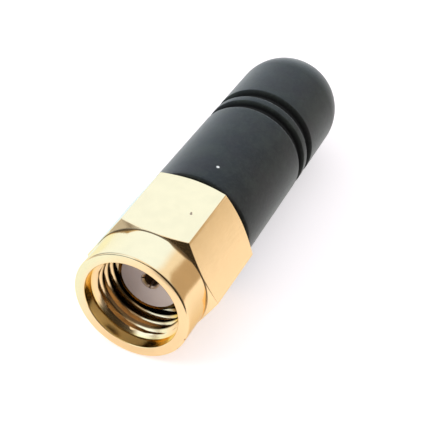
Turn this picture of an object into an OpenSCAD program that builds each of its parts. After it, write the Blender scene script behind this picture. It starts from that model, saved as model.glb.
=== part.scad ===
// Stub antenna on a threaded coaxial plug, lying along X with its mouth towards -X.
// x = 0 is the electrical reference plane: the front face of the ferrule and of the dielectric.
// Every length is in millimetres and every turned piece is revolved about the X axis.

/* [Coupling nut] */
// Width of the hexagon across its flats
nut_across_flats = 8; // [7.9:0.1:9]
// Whole length of the nut, from the mouth to its rear face
nut_length = 8.6; // [8.3:0.1:8.8]
// Diameter of the round collar in front of the hexagon
collar_diameter = 7.9; // [7.5:0.1:7.9]
// Length of the round collar
collar_length = 2.6; // [2:0.1:3.4]
// Slope of the turned chamfer at the front of the hexagon, in degrees from its face
front_chamfer_angle = 20; // [10:1:35]
// Slope of the turned chamfer at the rear of the hexagon, in degrees from its face
rear_chamfer_angle = 30; // [15:1:40]
// Diameter of the flat ring that the rear chamfer leaves
rear_face_diameter = 7.9; // [7:0.1:7.9]
// Small chamfer on the outer edge of the mouth
rim_edge = 0.1; // [0.05:0.01:0.2]
// Small chamfer on the inner edge of the mouth
mouth_edge = 0.06; // [0.02:0.01:0.12]
// Depth of the reference plane behind the mouth
mouth_depth = 2.65; // [2.54:0.01:2.8]
// Diameter of the smooth lead-in in front of the thread
lead_in_diameter = 6.46; // [6.4:0.02:6.6]
// Length of the smooth lead-in
lead_in_length = 0.85; // [0.6:0.05:1.2]
// Length of the cone between the lead-in and the thread
thread_cone_length = 0.2; // [0.1:0.05:0.4]
// Minor diameter of the 1/4-36 thread
thread_minor_diameter = 5.7; // [5.6:0.02:5.74]
// Depth of the end of the thread behind the mouth
thread_end_depth = 3.75; // [3.4:0.05:4]
// Radial clearance of the relief behind the thread round the gasket
relief_clearance = 0.2; // [0.15:0.05:0.3]
// Depth of the end of the relief behind the mouth
relief_end_depth = 5.55; // [5.5:0.05:5.8]
// Radial running clearance of the nut on the shank
nut_running_clearance = 0.05; // [0.03:0.01:0.08]

/* [Connector body] */
// Outer diameter of the ferrule
ferrule_diameter = 4.59; // [4.5:0.01:4.6]
// Length of the ferrule, from the reference plane to the gasket
ferrule_length = 1.95; // [1.9:0.01:2]
// Radial thickness of the ferrule round the dielectric
ferrule_wall = 0.245; // [0.22:0.005:0.28]
// Radial height of the step behind the ferrule that carries the gasket
seat_step = 0.18; // [0.16:0.01:0.2]
// Radial height of the shoulder behind the gasket, up to the shank that the nut turns on
shoulder_step = 0.275; // [0.2:0.005:0.3]
// Radial height of the step between the front bore and the rear one
bore_step = 0.3; // [0.2:0.05:0.5]
// Depth of the step between the two bores
bore_step_depth = 4.55; // [4.2:0.05:5]
// Depth of the shank's groove for the retaining ring
ring_groove_depth = 0.4; // [0.3:0.05:0.45]
// Length of the smooth stem between the rear of the nut and the first barb
stem_land = 0.6; // [0.4:0.1:1]
// Number of barbs that grip the cover
barb_count = 4; // [3:1:5]
// Distance from one barb to the next
barb_spacing = 0.92; // [0.8:0.02:1]
// Radial height of a barb
barb_height = 0.32; // [0.2:0.02:0.4]
// Share of that distance that the gap in front of each barb takes
barb_gap = 0.3; // [0.2:0.05:0.5]
// Small chamfer on the turned edges of the body
body_edge = 0.06; // [0.03:0.01:0.1]

/* [Retaining ring] */
// Axial width of the split ring
ring_width = 0.5; // [0.4:0.05:0.55]
// Radial thickness of the split ring
ring_thickness = 0.6; // [0.5:0.05:0.65]
// Width of the split in the ring
ring_split = 0.9; // [0.6:0.1:1.5]
// Distance from the reference plane to the front of the ring
ring_depth = 3.73; // [3.7:0.01:3.9]
// Clearance on each side of the ring
ring_side_clearance = 0.03; // [0.02:0.01:0.05]
// Radial clearance between the ring and the bottom of the body's groove
ring_floor_clearance = 0.05; // [0.03:0.01:0.1]
// Radial clearance round the ring in the nut's groove, for springing it over the shank
ring_spring_clearance = 0.4; // [0.38:0.01:0.5]
// Axial play of the nut on the body
nut_axial_play = 0.3; // [0.15:0.05:0.3]

/* [Gasket] */
// Radial width of the gasket
gasket_width = 0.565; // [0.4:0.005:0.6]
// Thickness of the gasket
gasket_thickness = 0.6; // [0.5:0.05:0.7]
// Radial clearance of the gasket on its seat
gasket_clearance = 0.01; // [0.005:0.005:0.03]

/* [Dielectric] */
// Radial clearance of the dielectric and the insulator in their bores
bore_clearance = 0.01; // [0.005:0.005:0.02]
// Radial clearance of the centre contact in the dielectric and the insulator
contact_clearance = 0.015; // [0.005:0.005:0.03]

/* [Centre contact] */
// Outer diameter of the centre contact
contact_diameter = 1.27; // [1.2:0.01:1.3]
// Bore of the contact's socket
socket_diameter = 0.95; // [0.92:0.01:0.98]
// Depth of the socket's bore
socket_depth = 2.4; // [2.2:0.1:2.8]
// Number of tines that the slots leave
tine_count = 4; // [2:1:4]
// Width of a slot between two tines
slot_width = 0.12; // [0.08:0.01:0.14]
// Length of the slots
slot_length = 2; // [1.6:0.1:2.1]
// How far the contact lies behind the reference plane
contact_recess = 0.03; // [0.01:0.01:0.08]
// Chamfer at the socket's entry
socket_edge = 0.07; // [0.04:0.01:0.1]
// Diameter of the flange that holds the contact in place
flange_diameter = 2.2; // [1.8:0.1:2.6]
// Thickness of that flange
flange_thickness = 0.6; // [0.4:0.1:0.8]
// How far the solder cup stands out behind the body
cup_reach = 0.7; // [0.4:0.1:1.2]
// Depth of the solder cup
cup_depth = 1.4; // [1:0.1:2]
// Radial clearance of the wire in the solder cup
cup_clearance = 0.02; // [0.01:0.01:0.05]
// How far the wire stops above the bottom of the solder cup
cup_floor_gap = 0.1; // [0.05:0.05:0.3]

/* [Radiating coil] */
// Diameter of the wire
wire_diameter = 0.8; // [0.6:0.05:0.9]
// Number of full turns
coil_turns = 5; // [4:0.5:5.5]
// Distance between turns
coil_spacing = 1.6; // [1.2:0.05:1.7]
// Radial clearance of the coil in the cover's cavity
coil_clearance = 0.15; // [0.1:0.05:0.3]
// Straight length of wire in front of the solder cup's mouth
coil_leg = 1; // [0.8:0.1:1.2]
// Length over which the wire opens from the axis to the coil's full width
coil_flare = 1.7; // [1.4:0.1:1.8]
// Length of the solder fillet on the cup
solder_length = 0.7; // [0.4:0.1:0.8]
// Radial thickness of the fillet at its thin end, its clearance from the wire included
solder_edge = 0.05; // [0.04:0.01:0.1]

/* [Cover] */
// Gap between the rear of the nut and the cover, with the nut pushed back
cover_gap = 0.3; // [0.15:0.05:0.4]
// Whole length of the cover, with its dome
cover_length = 19.5; // [19:0.1:24]
// Diameter of the cover at the nut
cover_front_diameter = 7.94; // [7.7:0.02:7.98]
// Diameter of the cover at the foot of the dome
cover_tip_diameter = 7.6; // [7.4:0.02:7.9]
// Diameter of the cavity that holds the coil
cavity_diameter = 5.7; // [5.6:0.1:6]
// Distance from the front of the cover to the first groove
groove_start = 9.15; // [8:0.05:11]
// Width of each groove
groove_width = 0.8; // [0.6:0.05:1]
// Width of the band between the two grooves
band_width = 0.75; // [0.5:0.05:1.2]
// Depth of each groove
groove_depth = 0.4; // [0.2:0.05:0.5]
// Chamfer on the lips of the grooves
groove_lip = 0.08; // [0.04:0.01:0.12]
// Chamfer on the front edge of the cover
cover_edge = 0.12; // [0.05:0.01:0.2]
// Clearance between the barbs and the cover moulded round them
barb_clearance = 0.02; // [0.01:0.01:0.05]

/* [Hidden] */
$fn = 96;
// how far a cut runs past the face that it opens
past = 1;
// how far a chamfer's cone runs past the surface that it meets, so that the two cross cleanly
overrun = 0.1;

gasket_seat = ferrule_diameter + 2 * seat_step;
gasket_bore = gasket_seat + 2 * gasket_clearance;
gasket_diameter = gasket_bore + 2 * gasket_width;
shank_diameter = gasket_seat + 2 * shoulder_step;
front_bore = ferrule_diameter - 2 * ferrule_wall;
rear_bore = front_bore - 2 * bore_step;
ring_groove = shank_diameter - 2 * ring_groove_depth;

gold = "gold";
mouth_x = -mouth_depth;
nut_rear_x = mouth_x + nut_length;
hexagon_x = mouth_x + collar_length;
hexagon_corner = nut_across_flats / 2 / cos(30);
lead_in_x = mouth_x + lead_in_length;
thread_x = lead_in_x + thread_cone_length;
thread_end_x = mouth_x + thread_end_depth;
relief_end_x = mouth_x + relief_end_depth;
nut_bore = shank_diameter + 2 * nut_running_clearance;

ring_inner = ring_groove / 2 + ring_floor_clearance;
ring_outer = ring_inner + ring_thickness;
ring_rear_x = ring_depth + ring_width;

shoulder_x = ferrule_length + gasket_thickness;

cover_x = nut_rear_x + cover_gap;
barb_x = nut_rear_x + stem_land;
stem_end_x = barb_x + barb_count * barb_spacing;

cup_mouth_x = stem_end_x + cup_reach;
flange_x = bore_step_depth;
wire_radius = wire_diameter / 2;
coil_radius = cavity_diameter / 2 - coil_clearance - wire_radius;
wire_start_x = cup_mouth_x - cup_depth + cup_floor_gap;
flare_x = cup_mouth_x + coil_leg;
coil_x = flare_x + coil_flare;
flare_turn = 0.75;
wire_sides = 8;
steps_per_turn = 18;

cover_end_x = cover_x + cover_length;
dome_radius = cover_tip_diameter / 2;
dome_x = cover_end_x - dome_radius;

// Turns a profile of [radius, x] points about the X axis.
module turned(profile) {
    rotate([0, 90, 0]) rotate_extrude() polygon(profile);
}

// A round bar from one place on the X axis to another, cone-shaped if its two diameters differ.
module bar(from, to, diameter, end_diameter = 0) {
    far = end_diameter > 0 ? end_diameter : diameter;
    translate([from, 0, 0]) rotate([0, 90, 0]) cylinder(h = to - from, d1 = diameter, d2 = far);
}

// The hexagon between its two turned chamfers. A flat faces up and another one down.
module hexagon_blank() {
    past_corner = hexagon_corner + overrun;
    collar_radius = collar_diameter / 2;
    front_rise = tan(front_chamfer_angle);
    rear_rise = tan(rear_chamfer_angle);
    intersection() {
        translate([mouth_x, 0, 0]) rotate([0, 90, 0]) rotate([0, 0, 30])
            cylinder(h = nut_length + past, r = hexagon_corner, $fn = 6);
        turned([[0, hexagon_x - overrun * front_rise],
                [collar_radius - overrun, hexagon_x - overrun * front_rise],
                [past_corner, hexagon_x + (past_corner - collar_radius) * front_rise],
                [past_corner, nut_rear_x - (past_corner - rear_face_diameter / 2) * rear_rise],
                [rear_face_diameter / 2, nut_rear_x],
                [0, nut_rear_x]]);
    }
}

module nut_outside() {
    collar_radius = collar_diameter / 2;
    union() {
        turned([[0, mouth_x],
                [collar_radius - rim_edge, mouth_x],
                [collar_radius, mouth_x + rim_edge],
                [collar_radius, hexagon_x + collar_length / 2],
                [0, hexagon_x + collar_length / 2]]);
        hexagon_blank();
    }
}

// Everything that is bored out of the nut, from the mouth to the rear face.
module nut_inside() {
    lead_in = lead_in_diameter / 2;
    minor = thread_minor_diameter / 2;
    relief = gasket_diameter / 2 + relief_clearance;
    bore = nut_bore / 2;
    groove = ring_outer + ring_spring_clearance;
    groove_x = ring_depth - ring_side_clearance;
    groove_end_x = ring_rear_x + ring_side_clearance;
    turned([[0, mouth_x - past],
            [lead_in + mouth_edge, mouth_x - past],
            [lead_in + mouth_edge, mouth_x],
            [lead_in, mouth_x + mouth_edge],
            [lead_in, lead_in_x],
            [minor, thread_x],
            [minor, thread_end_x],
            [relief, thread_end_x],
            [relief, relief_end_x],
            [bore, relief_end_x],
            [bore, groove_x],
            [groove, groove_x],
            [groove, groove_end_x],
            [bore, groove_end_x],
            [bore, nut_rear_x + past],
            [0, nut_rear_x + past]]);
}

module coupling_nut() {
    color(gold) difference() {
        nut_outside();
        nut_inside();
    }
}

// Split spring ring: it sits in the nut's groove and runs in the wider groove of the body.
module retaining_ring() {
    color("goldenrod") difference() {
        bar(ring_depth, ring_rear_x, 2 * ring_outer);
        bar(ring_depth - past, ring_rear_x + past, 2 * ring_inner);
        translate([ring_depth - past, -ring_split / 2, 0])
            cube([ring_width + 2 * past, ring_split, ring_outer + past]);
    }
}

// Flat silicone ring against the shoulder, where the mating connector's rim presses.
module gasket() {
    color("dimgray") difference() {
        bar(ferrule_length, shoulder_x, gasket_diameter);
        bar(ferrule_length - past, shoulder_x + past, gasket_bore);
    }
}

// Barbs of the stem as [radius, x] points. Each slope faces the open end of the stem, so that the cover
// slides on over them and can't come back.
function barb_points() = [
    [shank_diameter / 2, barb_x],
    for (i = [0 : barb_count - 1]) each [
        [shank_diameter / 2 - barb_height, barb_x + i * barb_spacing],
        [shank_diameter / 2 - barb_height, barb_x + (i + barb_gap) * barb_spacing],
        [shank_diameter / 2, barb_x + (i + barb_gap) * barb_spacing],
        [shank_diameter / 2 - barb_height / 2, barb_x + (i + 1) * barb_spacing]
    ]
];

module connector_body() {
    ferrule = ferrule_diameter / 2;
    shank = shank_diameter / 2;
    groove = ring_groove / 2;
    groove_x = ring_depth - nut_axial_play - ring_side_clearance;
    groove_end_x = ring_rear_x + ring_side_clearance;
    color(gold) difference() {
        turned(concat(
            [[0, 0],
             [ferrule - body_edge, 0],
             [ferrule, body_edge],
             [ferrule, ferrule_length],
             [gasket_seat / 2, ferrule_length],
             [gasket_seat / 2, shoulder_x],
             [shank, shoulder_x],
             [shank, groove_x],
             [groove, groove_x],
             [groove, groove_end_x],
             [shank, groove_end_x]],
            barb_points(),
            [[0, stem_end_x]]));
        bar(-past, bore_step_depth, front_bore);
        bar(-past, stem_end_x + past, rear_bore);
    }
}

module front_dielectric() {
    color("whitesmoke") difference() {
        bar(0, bore_step_depth, front_bore - 2 * bore_clearance);
        bar(-past, bore_step_depth + past, contact_diameter + 2 * contact_clearance);
    }
}

module rear_insulator() {
    color("ivory") difference() {
        bar(flange_x, stem_end_x, rear_bore - 2 * bore_clearance);
        bar(flange_x - past, flange_x + flange_thickness, flange_diameter + 2 * contact_clearance);
        bar(flange_x - past, stem_end_x + past, contact_diameter + 2 * contact_clearance);
    }
}

// Slotted socket at the front, captive flange in the middle, solder cup at the back.
module centre_contact() {
    color(gold) difference() {
        union() {
            bar(contact_recess, cup_mouth_x, contact_diameter);
            bar(flange_x, flange_x + flange_thickness, flange_diameter);
        }
        bar(contact_recess - past, contact_recess + socket_depth, socket_diameter);
        bar(contact_recess, contact_recess + socket_edge, socket_diameter + 2 * socket_edge, socket_diameter);
        bar(cup_mouth_x - cup_depth, cup_mouth_x + past, wire_diameter + 2 * cup_clearance);
        for (i = [0 : tine_count - 1])
            rotate([i * 360 / tine_count, 0, 0])
                translate([contact_recess - past, -slot_width / 2, 0])
                    cube([slot_length + past, slot_width, contact_diameter]);
    }
}

module solder_joint() {
    color("silver") difference() {
        bar(cup_mouth_x, cup_mouth_x + solder_length, contact_diameter, wire_diameter + 2 * solder_edge);
        bar(cup_mouth_x - past, cup_mouth_x + solder_length + past, wire_diameter + 2 * cup_clearance);
    }
}

// Centre line of the wire: straight out of the cup, opening on a smooth spiral, then the coil.
function eased(u) = u * u * (3 - 2 * u);
function leg_point(u) = [wire_start_x + u * (flare_x - wire_start_x), 0, 0];
function flare_point(u) = let (a = 360 * flare_turn * u, r = coil_radius * eased(u))
    [flare_x + coil_flare * u, r * cos(a), r * sin(a)];
function coil_point(t) = let (a = 360 * (flare_turn + t))
    [coil_x + coil_spacing * t, coil_radius * cos(a), coil_radius * sin(a)];

flare_steps = 16;
coil_steps = ceil(coil_turns * steps_per_turn);
wire_path = concat(
    [for (i = [0 : 1]) leg_point(i / 2)],
    [for (i = [0 : flare_steps - 1]) flare_point(i / flare_steps)],
    [for (i = [0 : coil_steps]) coil_point(coil_turns * i / coil_steps)]);

function unit(v) = v / norm(v);
function angle_at(i) = i < 2 ? 0
    : i < 2 + flare_steps ? 360 * flare_turn * (i - 2) / flare_steps
    : 360 * (flare_turn + coil_turns * (i - 2 - flare_steps) / coil_steps);
function heading(i) = unit(wire_path[min(i + 1, len(wire_path) - 1)] - wire_path[max(i - 1, 0)]);

// One ring of points round the wire, squared to its heading and lined up with the coil's radius.
function wire_ring(i) =
    let (t = heading(i), a = angle_at(i), out = [0, cos(a), sin(a)], n = unit(out - (out * t) * t), b = cross(t, n))
    [for (k = [0 : wire_sides - 1])
        wire_path[i] + wire_radius * (n * cos(360 * k / wire_sides) + b * sin(360 * k / wire_sides))];

module radiating_coil() {
    rings = len(wire_path);
    points = [for (i = [0 : rings - 1]) each wire_ring(i)];
    sides = [for (i = [0 : rings - 2]) for (k = [0 : wire_sides - 1])
        let (a = i * wire_sides + k, b = i * wire_sides + (k + 1) % wire_sides)
        each [[a, a + wire_sides, b], [b, a + wire_sides, b + wire_sides]]];
    front_cap = [for (k = [0 : wire_sides - 1]) k];
    rear_cap = [for (k = [wire_sides - 1 : -1 : 0]) (rings - 1) * wire_sides + k];
    color("peru") polyhedron(points, concat(sides, [front_cap, rear_cap]));
}

// Cross-section of one groove, open outwards, with chamfered lips.
module groove_section(x) {
    outside = cover_front_diameter / 2 + past;
    slope = (cover_front_diameter - cover_tip_diameter) / 2 / (dome_x - cover_x);
    surface = cover_front_diameter / 2 - slope * (x - cover_x);
    polygon([[surface - groove_depth, x],
             [surface - groove_lip, x],
             [surface + groove_lip, x - 2 * groove_lip],
             [outside, x - 2 * groove_lip],
             [outside, x + groove_width + 2 * groove_lip],
             [surface + groove_lip, x + groove_width + 2 * groove_lip],
             [surface - groove_lip, x + groove_width],
             [surface - groove_depth, x + groove_width]]);
}

// Quarter disc that closes an end with a dome.
module dome_section(x, radius) {
    intersection() {
        translate([0, x]) circle(r = radius);
        translate([0, x]) square([radius + past, radius + past]);
    }
}

module cover() {
    front = cover_front_diameter / 2;
    cavity = cavity_diameter / 2;
    color("darkslategray") rotate([0, 90, 0]) rotate_extrude() difference() {
        union() {
            polygon([[0, cover_x],
                     [front - cover_edge, cover_x],
                     [front, cover_x + cover_edge],
                     [dome_radius, dome_x],
                     [0, dome_x]]);
            dome_section(dome_x, dome_radius);
        }
        polygon(concat(
            [[0, cover_x - past], [shank_diameter / 2 + barb_clearance, cover_x - past]],
            [for (p = barb_points()) [p[0] + barb_clearance, p[1]]],
            [[cavity, stem_end_x], [cavity, dome_x], [0, dome_x]]));
        dome_section(dome_x, cavity);
        groove_section(cover_x + groove_start);
        groove_section(cover_x + groove_start + groove_width + band_width);
    }
}

coupling_nut();
retaining_ring();
gasket();
connector_body();
front_dielectric();
rear_insulator();
centre_contact();
solder_joint();
radiating_coil();
cover();
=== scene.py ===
"""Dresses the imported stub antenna: a spinning gold nut on a coaxial plug, under a black moulded cover.

Pieces are made in millimetres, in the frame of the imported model, and stored in metres. The nut and the cover
are built here with their thread, soft edges and grooves. The other nodes keep their meshes and get a finish.
"""

import math

import bpy
import numpy as np
from mathutils import Matrix, Vector


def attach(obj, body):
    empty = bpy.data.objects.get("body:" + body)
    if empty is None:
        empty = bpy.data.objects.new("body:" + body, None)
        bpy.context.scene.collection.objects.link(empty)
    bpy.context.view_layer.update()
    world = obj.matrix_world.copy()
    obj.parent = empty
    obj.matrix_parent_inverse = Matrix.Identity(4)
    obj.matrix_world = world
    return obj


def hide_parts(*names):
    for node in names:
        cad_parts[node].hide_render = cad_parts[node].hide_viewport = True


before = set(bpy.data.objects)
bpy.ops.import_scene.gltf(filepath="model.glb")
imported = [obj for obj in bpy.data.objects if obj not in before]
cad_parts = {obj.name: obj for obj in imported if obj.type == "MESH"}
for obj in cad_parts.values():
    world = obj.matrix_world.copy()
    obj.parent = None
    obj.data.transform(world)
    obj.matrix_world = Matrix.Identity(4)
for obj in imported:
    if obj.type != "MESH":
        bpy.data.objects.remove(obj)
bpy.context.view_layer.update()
scene = bpy.context.scene
scene.view_settings.view_transform = "Standard"

MM = 0.001
FLOOR_Z = -4.0
PHOTO_LONG_SIDE = 444


# Shaders

class Link:
    """One output of a shader node. Python's operators on it add Math nodes."""

    def __init__(self, shader, socket):
        self.shader, self.socket = shader, socket

    def __add__(self, other):
        return self.shader.math("ADD", self, other)

    def __radd__(self, other):
        return self.shader.math("ADD", other, self)

    def __sub__(self, other):
        return self.shader.math("SUBTRACT", self, other)

    def __rsub__(self, other):
        return self.shader.math("SUBTRACT", other, self)

    def __mul__(self, other):
        return self.shader.math("MULTIPLY", self, other)

    def __rmul__(self, other):
        return self.shader.math("MULTIPLY", other, self)

    def __truediv__(self, other):
        return self.shader.math("DIVIDE", self, other)

    def __pow__(self, other):
        return self.shader.math("POWER", self, other)

    def output(self, name):
        """Another output of the same node."""
        return Link(self.shader, self.socket.node.outputs[name])

    def rise(self, low, high):
        """0 below low and 1 above high, with a smooth step between."""
        return self.shader.node("ShaderNodeMapRange", {"interpolation_type": "SMOOTHSTEP"},
                                {"Value": self, "From Min": low, "From Max": high})


class Shader:
    """A node tree under construction."""

    def __init__(self, tree):
        self.tree = tree
        tree.nodes.clear()

    def node(self, kind, settings=None, sockets=None, output=0):
        """Adds one node: its settings first, then the values or links of its sockets. Returns one output."""
        made = self.tree.nodes.new(kind)
        for name, value in (settings or {}).items():
            setattr(made, name, value)
        for name, value in (sockets or {}).items():
            if isinstance(value, Link):
                self.tree.links.new(value.socket, made.inputs[name])
            else:
                made.inputs[name].default_value = value
        return Link(self, made.outputs[output]) if made.outputs else None

    def math(self, operation, *values):
        return self.node("ShaderNodeMath", {"operation": operation}, dict(enumerate(values)))

    def place(self):
        """Where a point is, in millimetres, as the part stands in its own frame."""
        metres = self.node("ShaderNodeTexCoord", output="Object")
        return self.node("ShaderNodeVectorMath", {"operation": "SCALE"}, {0: metres, "Scale": 1 / MM})

    def parts(self, vector):
        """The x, y and z of a vector."""
        split = self.node("ShaderNodeSeparateXYZ", sockets={0: vector})
        return split, split.output("Y"), split.output("Z")

    def stretched(self, vector, factors):
        return self.node("ShaderNodeVectorMath", {"operation": "MULTIPLY"}, {0: vector, 1: factors})

    def noise(self, vector, scale, detail=2.0, roughness=0.5):
        return self.node("ShaderNodeTexNoise", {"noise_dimensions": "3D"},
                         {"Vector": vector, "Scale": scale, "Detail": detail, "Roughness": roughness})

    def rings(self, along, scale):
        """Noise that depends on one number alone, such as the marks of a lathe tool."""
        return self.node("ShaderNodeTexNoise", {"noise_dimensions": "1D"},
                         {"W": along, "Scale": scale, "Detail": 3.0})

    def blend(self, amount, first, second):
        """A colour between two colours."""
        mix = self.node("ShaderNodeMix", {"data_type": "RGBA"}, {"Factor": amount})
        node = mix.socket.node
        for socket, value in ((node.inputs[6], first), (node.inputs[7], second)):
            if isinstance(value, Link):
                self.tree.links.new(value.socket, socket)
            else:
                socket.default_value = rgba(value)
        return Link(self, node.outputs[2])

    def bump(self, height, depth_mm):
        return self.node("ShaderNodeBump", sockets={"Height": height, "Distance": depth_mm * MM, "Strength": 1.0})

    def near(self, place, point, radius):
        """1 inside a small ball round a point, fading to 0 at its skin."""
        gap = self.node("ShaderNodeVectorMath", {"operation": "DISTANCE"}, {0: place, 1: point}, "Value")
        return 1 - gap.rise(0.5 * radius, radius)

    def principled(self, **sockets):
        shader = self.node("ShaderNodeBsdfPrincipled",
                           sockets={name.replace("_", " "): value for name, value in sockets.items()})
        self.node("ShaderNodeOutputMaterial", sockets={"Surface": shader})


def rgba(colour):
    return (*colour, 1.0)


def new_material(name):
    material = bpy.data.materials.new(name)
    material.use_nodes = True
    return material, Shader(material.node_tree)


# Camera, floor and light

def set_camera():
    """The photograph's view: a pinhole camera that looks down at the mouth, with a roll of six degrees."""
    position = Vector((-54.785, -25.136, 55.107)) * MM
    forward = Vector((0.7195, 0.2757, -0.6375)).normalized()
    roll = math.radians(6.008)
    level_right = forward.cross(Vector((0, 0, 1))).normalized()
    level_up = level_right.cross(forward)
    right = level_right * math.cos(roll) + level_up * math.sin(roll)
    up = level_up * math.cos(roll) - level_right * math.sin(roll)
    focal_length_px = 1300
    data = bpy.data.cameras.new("photo_camera")
    data.sensor_width = 36
    data.lens = data.sensor_width * focal_length_px / PHOTO_LONG_SIDE
    data.clip_start, data.clip_end = MM, 10
    camera = bpy.data.objects.new("photo_camera", data)
    turn = Matrix((right, up, -forward)).transposed().to_4x4()
    camera.matrix_world = Matrix.Translation(position) @ turn
    scene.collection.objects.link(camera)
    scene.camera = camera


PAPER, UNLIT_PAPER = (0.8, 0.755, 0.785), (0.05, 0.045, 0.04)
PAPER_GLOW, WINDOW_GLOW = (1, 0.985, 0.995), (0.35, 1.1, 1.7)
PLAIN_AIR, COOL_AIR, WARM_WALL = (1.0, 1.0, 1.02), (1.04, 1.36, 1.9), (1.0, 0.8, 0.6)
UNLIT_WAY = (-0.951, -0.304, -0.051)


def lay_floor():
    """A pale round sheet that reads as white and keeps the object's shadow. What the metal mirrors of it is dark
    just in front of the mouth and cool on the window's side."""
    radius, sides, centre_x = 60.0, 128, 43.0
    corners = [(centre_x + radius * math.cos(2 * math.pi * k / sides), radius * math.sin(2 * math.pi * k / sides),
                FLOOR_Z) for k in range(sides)]
    mesh = bpy.data.meshes.new("floor")
    mesh.from_pydata([Vector(p) * MM for p in corners], [], [list(range(sides))])
    floor = bpy.data.objects.new("floor", mesh)
    scene.collection.objects.link(floor)
    material, shader = new_material("floor")
    path = shader.node("ShaderNodeLightPath")
    mirrored = shader.math("MAXIMUM", path.output("Is Glossy Ray"), path.output("Is Transmission Ray"))
    x, y, z = shader.parts(shader.place())
    unlit = (-1 * x).rise(9.5, 12.5) * (1 - y.rise(0.5, 3.0)) * mirrored
    window_side = y.rise(1.0, 7.0)
    strength = 0.48 * path.output("Is Camera Ray") + mirrored * (1 - unlit) * (0.33 + 0.1 * window_side)
    paper = shader.node("ShaderNodeBsdfDiffuse", sockets={
        "Color": shader.blend(unlit, PAPER, UNLIT_PAPER)})
    glow = shader.node("ShaderNodeEmission", sockets={
        "Color": shader.blend(window_side * mirrored, PAPER_GLOW, WINDOW_GLOW), "Strength": strength})
    both = shader.node("ShaderNodeAddShader", sockets={0: paper, 1: glow})
    shader.node("ShaderNodeOutputMaterial", sockets={"Surface": both})
    mesh.materials.append(material)


def light_surroundings():
    """White to the camera and plain soft light for matt surfaces. Metal mirrors a bright room with a cool side, a
    window on the left, a darker wall on the right, dusky corners at both sides and the unlit room in front."""
    world = bpy.data.worlds.new("surroundings")
    world.use_nodes = True
    scene.world = world
    shader = Shader(world.node_tree)
    towards = shader.node("ShaderNodeTexCoord", output="Generated")
    x, y, z = shader.parts(towards)
    cool_side = y.rise(-0.42, -0.22) * x.rise(-0.2, 0.3)
    wall = z.rise(-0.125, -0.03) * (1 - z.rise(0.48, 0.54)) * (-1 * y).rise(0.38, 0.5) * x.rise(-0.1, 0.1)
    leftward = (-1 * x).rise(0.3, 0.6)
    window = y.rise(0.22, 0.36) * z.rise(-0.08, 0.06) * leftward
    low_left = y.rise(0.575, 0.6) * leftward * (1 - window)
    ahead = shader.node("ShaderNodeVectorMath", {"operation": "DOT_PRODUCT"}, {0: towards, 1: UNLIT_WAY}, "Value")
    ahead = ahead.rise(0.42, 0.56)
    top = z.rise(0.16, 0.3) * y.rise(-0.15, 0.05) + z.rise(0.75, 0.85) * (1 - y.rise(-0.15, 0.05))
    room = ahead * (1 - top) * (1 - window) * (1 - low_left)
    beside = (1 - shader.math("ABSOLUTE", x).rise(0.3, 0.5)) * z.rise(-0.15, 0.1) * (1 - z.rise(0.45, 0.95))
    mirrored = (0.95 + 0.1 * window) * (1 - 0.4 * low_left) * (1 - 0.44 * wall) * (1 - 0.96 * room)
    mirrored = mirrored * (1 - 0.6 * beside)
    cool = shader.math("MINIMUM", cool_side + window + 0.2 * low_left, 1.0)
    tint = shader.blend(wall + room, shader.blend(cool, PLAIN_AIR, COOL_AIR), WARM_WALL)
    path = shader.node("ShaderNodeLightPath")
    shiny = path.output("Is Glossy Ray")
    soft = (0.86 + 0.15 * z) * (1 - 0.55 * ahead)
    level = soft + shiny * (mirrored - soft)
    colour = shader.blend(shiny, (1.0, 1.0, 1.0), tint)
    lit = shader.node("ShaderNodeBackground", sockets={"Color": colour, "Strength": level})
    white = shader.node("ShaderNodeBackground", sockets={"Color": (1, 1, 1, 1), "Strength": 1.0})
    either = shader.node("ShaderNodeMixShader", sockets={0: path.output("Is Camera Ray"), 1: lit, 2: white})
    shader.node("ShaderNodeOutputWorld", sockets={"Surface": either})


def hang_lamp(name, direction, distance, size, radiance, colour):
    """A square soft box that looks at the object and isn't mirrored in it."""
    aim = Vector((8, 0, 0)) * MM
    data = bpy.data.lights.new(name, "AREA")
    data.shape, data.size = "SQUARE", size * MM
    data.energy = radiance * math.pi * (size * MM) ** 2
    data.color = colour
    lamp = bpy.data.objects.new(name, data)
    lamp.location = aim + Vector(direction).normalized() * distance * MM
    lamp.visible_glossy = False
    lamp.rotation_mode = "QUATERNION"
    lamp.rotation_quaternion = (lamp.location - aim).to_track_quat("Z", "Y")
    scene.collection.objects.link(lamp)


# Meshes

SHARP_ANGLE = math.radians(35)
CORNER_STEPS = 6


def mesh_piece(name, points, faces, material, body, replaced):
    """A smooth piece from points in millimetres. Points that coincide are joined and empty faces are left out."""
    points = np.asarray(points, float)
    keys = np.round(points * 1e5).astype(np.int64)
    _, first, place = np.unique(keys, axis=0, return_index=True, return_inverse=True)
    place = place.ravel()
    kept = []
    for face in faces:
        ring = [place[v] for v in face]
        ring = [v for k, v in enumerate(ring) if v != ring[k - 1]]
        if len(set(ring)) >= 3:
            kept.append(ring)
    mesh = bpy.data.meshes.new(name)
    mesh.from_pydata((points[first] * MM).tolist(), [], kept)
    mesh.validate()
    mesh.shade_smooth()
    mesh.set_sharp_from_angle(angle=SHARP_ANGLE)
    mesh.materials.append(material)
    piece = bpy.data.objects.new(name, mesh)
    scene.collection.objects.link(piece)
    even = piece.modifiers.new("even_shading", "WEIGHTED_NORMAL")
    even.mode, even.weight, even.keep_sharp = "FACE_AREA", 50, True
    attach(piece, body)
    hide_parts(replaced)
    return piece


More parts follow.
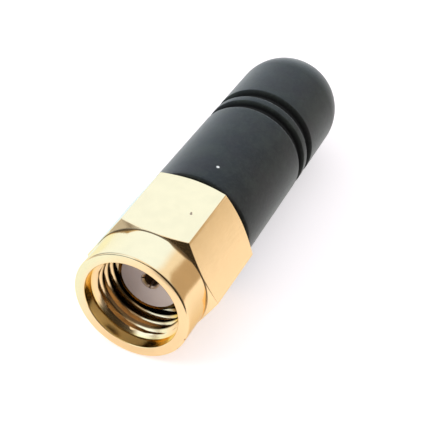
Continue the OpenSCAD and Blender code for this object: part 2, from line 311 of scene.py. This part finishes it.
def soften(profile):
    """Rounds the corners of an open profile of (x, r, radius) points. A radius is cut down where a side is short."""
    out = []
    for k, (x, r, radius) in enumerate(profile):
        here = np.array((x, r))
        if radius == 0:
            out.append(here)
            continue
        before, after = np.array(profile[k - 1][:2]), np.array(profile[k + 1][:2])
        back, ahead = before - here, after - here
        room = 0.42 * min(np.linalg.norm(back), np.linalg.norm(ahead))
        back, ahead = back / np.linalg.norm(back), ahead / np.linalg.norm(ahead)
        half = 0.5 * math.acos(float(np.clip(back @ ahead, -1, 1)))
        reach = min(radius / math.tan(half), room)
        radius = reach * math.tan(half)
        centre = here + (back + ahead) / np.linalg.norm(back + ahead) * radius / math.sin(half)
        start, end = here + back * reach - centre, here + ahead * reach - centre
        turn = math.pi - 2 * half
        side = math.copysign(1.0, float(start[0] * end[1] - start[1] * end[0]))
        for step in range(CORNER_STEPS + 1):
            a = side * turn * step / CORNER_STEPS
            c, s = math.cos(a), math.sin(a)
            out.append(centre + np.array((c * start[0] - s * start[1], s * start[0] + c * start[1])))
    return out


# The nut

MOUTH_X, NUT_REAR_X = -2.65, 5.95
COLLAR_R, HEXAGON_X = 3.95, -0.05
FLAT_R, CORNER_ROUNDING = 4.0, 0.07
LEAD_IN_R, LEAD_IN_X, THREAD_X, THREAD_END_X = 3.23, -1.8, -1.6, 1.1
THREAD_R, THREAD_ROOT_R, PITCH = 2.85, 3.175, 25.4 / 36
THREAD_CREST, THREAD_TURN = 0.24, -0.7
THREAD_FLANK = (THREAD_ROOT_R - THREAD_R) * math.tan(math.radians(30))
RELIEF_R, RELIEF_END_X = 3.25, 2.9
BORE_R, RING_GROOVE_R, RING_GROOVE = 2.8, 3.4, (3.70, 4.26)
REAR_FACE_R = 3.95
FRONT_CHAMFER, REAR_CHAMFER = math.tan(math.radians(20)), math.tan(math.radians(30))


def hexagon_radius(angle):
    """Distance from the axis to the hexagon's side, at an angle from +Y towards +Z. A flat faces up."""
    centre = (FLAT_R - CORNER_ROUNDING) / math.cos(math.pi / 6)
    edge = math.atan2(CORNER_ROUNDING * 0.5, centre + CORNER_ROUNDING * math.cos(math.pi / 6))
    from_corner = corner_offset(angle)
    if from_corner < edge:
        return centre * math.cos(from_corner) + math.sqrt(CORNER_ROUNDING ** 2
                                                          - (centre * math.sin(from_corner)) ** 2)
    return FLAT_R / math.cos(math.pi / 6 - from_corner)


def corner_offset(angle):
    """How far an angle is from the nearest corner of the hexagon. Corners lie at 0, 60, 120 degrees and so on."""
    sector = math.pi / 3
    return abs((angle + sector / 2) % sector - sector / 2)


def nut_angles():
    """Angles round the nut, close together at the hexagon's corners."""
    near = [0.0, 0.12, 0.24, 0.36, 0.48, 0.62, 0.9, 1.4, 2.2]
    side = near + [3.5 + 2.65 * k for k in range(11)]
    sector = sorted(set(side + [60 - a for a in side if a > 0]))
    return [math.radians(60 * k + a) for k in range(6) for a in sector]


def nut_outline(angle):
    """The nut's section at one angle, from the end of the lead-in round the outside to the end of the thread."""
    flat = hexagon_radius(angle)
    return soften([
        (LEAD_IN_X, LEAD_IN_R, 0),
        (MOUTH_X + 0.3, LEAD_IN_R, 0),
        (MOUTH_X, LEAD_IN_R, 0.06),
        (MOUTH_X, COLLAR_R, 0.12),
        (MOUTH_X + 0.6, COLLAR_R, 0),
        (HEXAGON_X, COLLAR_R, 0.03),
        (HEXAGON_X + (flat - COLLAR_R) * FRONT_CHAMFER, flat, 0.06),
        (NUT_REAR_X - (flat - REAR_FACE_R) * REAR_CHAMFER, flat, 0.06),
        (NUT_REAR_X, REAR_FACE_R, 0.05),
        (NUT_REAR_X, BORE_R, 0.05),
        (RING_GROOVE[1], BORE_R, 0),
        (RING_GROOVE[1], RING_GROOVE_R, 0),
        (RING_GROOVE[0], RING_GROOVE_R, 0),
        (RING_GROOVE[0], BORE_R, 0),
        (RELIEF_END_X, BORE_R, 0),
        (RELIEF_END_X, RELIEF_R, 0),
        (THREAD_END_X, RELIEF_R, 0),
    ])


def thread_radius(x, angle):
    """The wall of the right-handed thread, and of the cone that leads into it."""
    phase = (x - LEAD_IN_X) / PITCH - angle / (2 * math.pi) - THREAD_TURN
    from_crest = abs((phase + 0.5) % 1 - 0.5) * PITCH
    share = min(max((from_crest - THREAD_CREST / 2) / THREAD_FLANK, 0.0), 1.0)
    cone = LEAD_IN_R - (x - LEAD_IN_X) * (LEAD_IN_R - THREAD_R) / (THREAD_X - LEAD_IN_X)
    return max(THREAD_R + (THREAD_ROOT_R - THREAD_R) * share, cone)


CREST_PHASE = THREAD_CREST / 2 / PITCH
ROOT_PHASE = CREST_PHASE + THREAD_FLANK / PITCH
FLANK_PHASES = [CREST_PHASE + k / 8 * (ROOT_PHASE - CREST_PHASE) for k in range(9)]
HALF_TURN_PHASES = [0.0, 0.5 * CREST_PHASE] + FLANK_PHASES + [0.5]
THREAD_PHASES = HALF_TURN_PHASES + [1 - phase for phase in reversed(HALF_TURN_PHASES[1:-1])]


def build_nut(material):
    """The coupling nut. Columns of the thread's mesh climb with its helix, so that its edges stay clean."""
    angles = nut_angles()
    outline = [nut_outline(a) for a in angles]
    per_turn = len(THREAD_PHASES)
    turns = math.ceil((THREAD_END_X - LEAD_IN_X) / PITCH - THREAD_TURN)
    columns = [turn + phase for turn in range(turns + 1) for phase in THREAD_PHASES] + [turns + 1.0]
    points, ring_start = [], []
    for angle, section in zip(angles, outline):
        ring_start.append(len(points))
        c, s = math.cos(angle), math.sin(angle)
        points += [(x, r * c, r * s) for x, r in section]
        for column in columns:
            x = LEAD_IN_X + PITCH * (column - 1 + angle / (2 * math.pi) + THREAD_TURN)
            x = min(max(x, LEAD_IN_X), THREAD_END_X)
            r = thread_radius(x, angle)
            points.append((x, r * c, r * s))
    outer = len(outline[0])
    faces = []
    for k, start in enumerate(ring_start):
        following = ring_start[(k + 1) % len(ring_start)]
        shift = per_turn if k == len(ring_start) - 1 else 0
        for a in range(outer - 1):
            faces.append((start + a, following + a, following + a + 1, start + a + 1))
        # One face closes the section from the relief to the thread's last column.
        last = len(columns) - 1
        faces.append((start + outer - 1, following + outer - 1, following + outer + last, start + outer + last))
        for j in range(last - shift):
            faces.append((start + outer + j, start + outer + j + 1, following + outer + j + 1 + shift,
                          following + outer + j + shift))
    return mesh_piece("nut", points, faces, material, "nut", "coupling_nut")


# The cover

COVER_X, COVER_END_X = 6.25, 25.75
COVER_R, DOME_R, DOME_X = 3.97, 3.8, 21.95
GROOVES = ((15.40, 16.20), (16.95, 17.75))
GROOVE_DEPTH = 0.4
STEM_R, BARB_X, BARB_SPACING, BARBS, STEM_END_X = 2.77, 6.55, 0.92, 4, 10.23
BARB_HEIGHT, BARB_GAP = 0.32, 0.3
CAVITY_R = 2.85


def cover_outline():
    """The cover's section from the axis at the dome's tip, along the outside and back inside."""
    slope = (COVER_R - DOME_R) / (DOME_X - COVER_X)

    def surface(x):
        return COVER_R - slope * (x - COVER_X)

    outside = [(COVER_X, STEM_R, 0), (COVER_X, COVER_R, 0.2)]
    for start, end in GROOVES:
        floor = surface((start + end) / 2) - GROOVE_DEPTH
        outside += [(start - 0.05, surface(start), 0.13), (start + 0.05, floor, 0.13),
                    (end - 0.05, floor, 0.13), (end + 0.05, surface(end), 0.13)]
    outside.append((DOME_X, DOME_R, 0))
    section = [tuple(p) for p in soften(outside)]
    long_run = [(x, surface(x)) for x in np.linspace(COVER_X + 0.5, GROOVES[0][0] - 0.4, 9)]
    front_edge = CORNER_STEPS + 2
    section = section[:front_edge] + long_run + section[front_edge:]
    section += [(DOME_X + DOME_R * math.sin(a), DOME_R * math.cos(a)) for a in np.linspace(0, math.pi / 2, 25)[1:]]
    section += [(DOME_X + CAVITY_R * math.sin(a), CAVITY_R * math.cos(a)) for a in np.linspace(math.pi / 2, 0, 13)]
    section.append((STEM_END_X, CAVITY_R))
    for barb in reversed(range(BARBS)):
        x = BARB_X + barb * BARB_SPACING
        section += [(x + BARB_SPACING, STEM_R - BARB_HEIGHT / 2), (x + BARB_GAP * BARB_SPACING, STEM_R),
                    (x + BARB_GAP * BARB_SPACING, STEM_R - BARB_HEIGHT), (x, STEM_R - BARB_HEIGHT)]
    section += [(BARB_X, STEM_R), (COVER_X, STEM_R)]
    return section


def build_cover(material):
    """The moulded cover: its section turned round the axis."""
    section = cover_outline()
    count, sides = len(section), 144
    points, faces = [], []
    for k in range(sides):
        c, s = math.cos(2 * math.pi * k / sides), math.sin(2 * math.pi * k / sides)
        points += [(x, r * c, r * s) for x, r in section]
        here, following = k * count, (k + 1) % sides * count
        faces += [(here + a, following + a, following + a + 1, here + a + 1) for a in range(count - 1)]
    return mesh_piece("cover_shell", points, faces, material, "antenna", "cover")


# Finishes

GOLD, SHADED_GOLD, LEAD_IN_GOLD = (1.0, 0.74, 0.4), (0.44, 0.32, 0.16), (0.95, 0.7, 0.24)
CREASE_SHADE, NICK_TONE = (0.1, 0.06, 0.03), (0.16, 0.07, 0.05)
GOLD_EDGE_TINT = (1.0, 0.86, 0.6, 1.0)

# Each nick's place and radius: three on the mouth's rim, two that make one pit on the top flat.
NICKS = (((MOUTH_X, -3.7, -1.7), 0.13), ((MOUTH_X, -3.79, -1.05), 0.1), ((MOUTH_X, -3.38, -2.03), 0.09),
         ((2.73, -1.23, FLAT_R), 0.11), ((2.86, -1.19, FLAT_R), 0.08))


def gold_finish(name="gold_plate", colour=GOLD):
    """Plated turned brass: rings left by the tool on round faces, faint lines along the flats and small handling
    marks, with painted shade on the thread crests, down the bore and in the crease before the hexagon."""
    material, shader = new_material(name)
    place = shader.place()
    x, y, z = shader.parts(place)
    radius = (y * y + z * z) ** 0.5
    rings = shader.rings(x + radius, 26.0)
    lines = shader.noise(shader.stretched(place, (1.2, 34.0, 34.0)), 1.0)
    hexagon = x.rise(-0.02, 0.12) * radius.rise(3.6, 3.9)
    marks = rings * (1 - hexagon) + lines * hexagon
    cloud = shader.noise(place, 0.9, 3.0)
    tone = shader.blend(cloud.rise(0.3, 0.7), [0.96 * v for v in colour], colour)
    # Painted shade inside the nut: the thread crests past the lead-in and the deep bore get a darker gold.
    crest_shade = (1 - radius.rise(THREAD_R + 0.01, THREAD_R + 0.07)) * x.rise(THREAD_X - 0.1, THREAD_X + 0.1)
    deep_bore_shade = (1 - radius.rise(RELIEF_R - 0.05, RELIEF_R + 0.05)) * x.rise(0.3, 1.0)
    bore_shade = shader.math("MAXIMUM", crest_shade, 0.6 * deep_bore_shade)
    tone = shader.blend(bore_shade, tone, [0.42 * v ** 1.15 for v in colour])
    mouth = (1 - radius.rise(LEAD_IN_R + 0.005, LEAD_IN_R + 0.03)) * (1 - x.rise(LEAD_IN_X - 0.05, LEAD_IN_X + 0.1))
    tone = shader.blend(mouth, tone, LEAD_IN_GOLD)
    # Painted shade: a dark line on the collar in the crease before the hexagon, wider at the hexagon's corners and
    # on the upper side.
    edge_on = shader.math("COSINE", 6 * shader.math("ARCTAN2", z, y)).rise(0.0, 1.0)
    before = (x - HEXAGON_X) / (0.1 + 0.25 * edge_on)
    corner = before.rise(-1.0, -0.4) * (1 - (x - HEXAGON_X).rise(0.0, 0.04)) * z.rise(-2.5, 1.5)
    corner = corner * radius.rise(COLLAR_R - 0.15, COLLAR_R - 0.1) * (1 - radius.rise(FLAT_R - 0.01, FLAT_R + 0.03))
    tone = shader.blend(0.85 * corner, tone, CREASE_SHADE)
    for spot, size in NICKS:
        tone = shader.blend(0.8 * shader.near(place, spot, size), tone, NICK_TONE)
    rough = 0.1 + 0.04 * cloud + 0.03 * marks + 0.3 * corner
    shader.principled(Base_Color=tone, Metallic=1.0, Roughness=rough, Specular_Tint=GOLD_EDGE_TINT,
                      Normal=shader.bump(marks, 0.0012))
    return material


def plain_metal(name, colour, roughness, grain):
    """Drawn wire or soldered metal, with a fine grain."""
    material, shader = new_material(name)
    place = shader.place()
    fine = shader.noise(place, grain)
    tone = shader.blend(shader.noise(place, 1.5), [0.85 * v for v in colour], colour)
    shader.principled(Base_Color=tone, Metallic=1.0, Roughness=roughness + 0.15 * fine,
                      Normal=shader.bump(fine, 0.004))
    return material


def soft_plastic(name, dark, light, roughness, grain, depth):
    """Turned fluoropolymer or silicone: faint tool marks, a mottled tone, and painted shade that makes it grow
    lighter towards -Y.
    """
    material, shader = new_material(name)
    place = shader.place()
    x, y, z = shader.parts(place)
    rings = shader.rings(x + (y * y + z * z) ** 0.5, grain)
    cloud = shader.noise(place, 1.6, 3.0)
    # Painted shade: darker on the +Y side, lighter towards -Y.
    tone = shader.blend(0.25 * cloud + 0.75 * (-1 * y).rise(-2.0, 2.0), dark, light)
    shader.principled(Base_Color=tone, Roughness=roughness + 0.1 * rings, Normal=shader.bump(rings, depth))
    return material


RUBBER_DARK, RUBBER_PALE, RUBBER_WARM = (0.006, 0.008, 0.007), (0.019, 0.024, 0.019), (0.013, 0.01, 0.011)
RUBBER_BLOOM, GROOVE_SHADE = (0.04, 0.048, 0.04), (0.001, 0.001, 0.001)
RUBBER_SHEEN = (0.96, 1.0, 0.97, 1.0)
LINT, LINT_RADIUS, LINT_TONE = (8.07, -0.61, 3.9), 0.14, (0.85, 0.87, 0.88)


def rubber_finish():
    """The moulded elastomer: a fine matt grain, mottling, light specks of bloom, a paler tone towards the dome,
    painted shade next to the nut and in the grooves, a worn sheen and a speck of lint."""
    material, shader = new_material("cover_rubber")
    place = shader.place()
    x, y, z = shader.parts(place)
    grain = shader.noise(place, 11.0, 4.0, 0.65)
    cloud = shader.noise(place, 0.7, 3.0)
    hue = shader.noise(shader.stretched(place, (1, 1, -1)), 0.45)
    bloom = shader.noise(place, 4.5, 5.0, 0.7)
    # Painted shade: the cover is darker next to the nut and grows paler further along, most towards the dome.
    away = 0.55 * x.rise(6.5, 9.5) + 0.3 * x.rise(13.0, 20.0) + 0.5 * x.rise(20.0, 25.0)
    # Painted shade: the groove floors are darkened and made rougher.
    start, end = GROOVES[0][0], GROOVES[-1][1]
    below = 1 - (y * y + z * z).rise(12.5, 14.5)
    groove_floor_shade = x.rise(start - 0.2, start + 0.1) * (1 - x.rise(end - 0.1, end + 0.2)) * below
    tone = shader.blend(away * 0.7 + 0.9 * cloud.rise(0.35, 0.65) - 0.3, RUBBER_DARK, RUBBER_PALE)
    tone = shader.blend(0.6 * hue.rise(0.45, 0.65), tone, RUBBER_WARM)
    tone = shader.blend(0.45 * bloom.rise(0.45, 0.75), tone, RUBBER_BLOOM)
    tone = shader.blend(groove_floor_shade, tone, GROOVE_SHADE)
    tone = shader.blend(shader.near(place, LINT, LINT_RADIUS), tone, LINT_TONE)
    rough = 0.5 + 0.1 * cloud + 0.08 * grain + 0.3 * groove_floor_shade
    shader.principled(Base_Color=tone, Roughness=rough, Specular_IOR_Level=0.22, Sheen_Weight=0.8,
                      Sheen_Roughness=0.36, Sheen_Tint=RUBBER_SHEEN, Normal=shader.bump(grain, 0.012))
    return material


def dress(node, material):
    """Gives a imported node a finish, with its mesh and place as they are."""
    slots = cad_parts[node].data.materials
    slots.clear()
    slots.append(material)


set_camera()
lay_floor()
light_surroundings()
hang_lamp("key_box", (-0.5, 0.72, 0.5), 260, 150, 3.5, (1.0, 0.99, 0.98))

build_nut(gold_finish())
build_cover(rubber_finish())
# Painted shade: the body, deep inside the nut, gets a darker copy of the gold.
dress("connector_body", gold_finish("body_plate", SHADED_GOLD))
# Painted shade: the centre contact, dark in its hole, gets a browner metal darker than the gold.
dress("centre_contact", plain_metal("shaded_contact", (0.62, 0.47, 0.34), 0.34, 9.0))
dress("front_dielectric", soft_plastic("fluoropolymer", (0.66, 0.555, 0.53), (0.95, 0.84, 0.83), 0.35, 18.0, 0.002))
dress("rear_insulator", soft_plastic("insulator_bead", (0.74, 0.72, 0.68), (0.8, 0.78, 0.73), 0.4, 14.0, 0.002))
dress("gasket", soft_plastic("silicone", (0.03, 0.026, 0.024), (0.05, 0.044, 0.04), 0.45, 8.0, 0.002))
dress("retaining_ring", plain_metal("phosphor_bronze", (0.72, 0.5, 0.3), 0.3, 20.0))
dress("solder_joint", plain_metal("solder", (0.7, 0.71, 0.72), 0.3, 6.0))
dress("radiating_coil", plain_metal("coil_wire", (0.75, 0.45, 0.3), 0.25, 16.0))
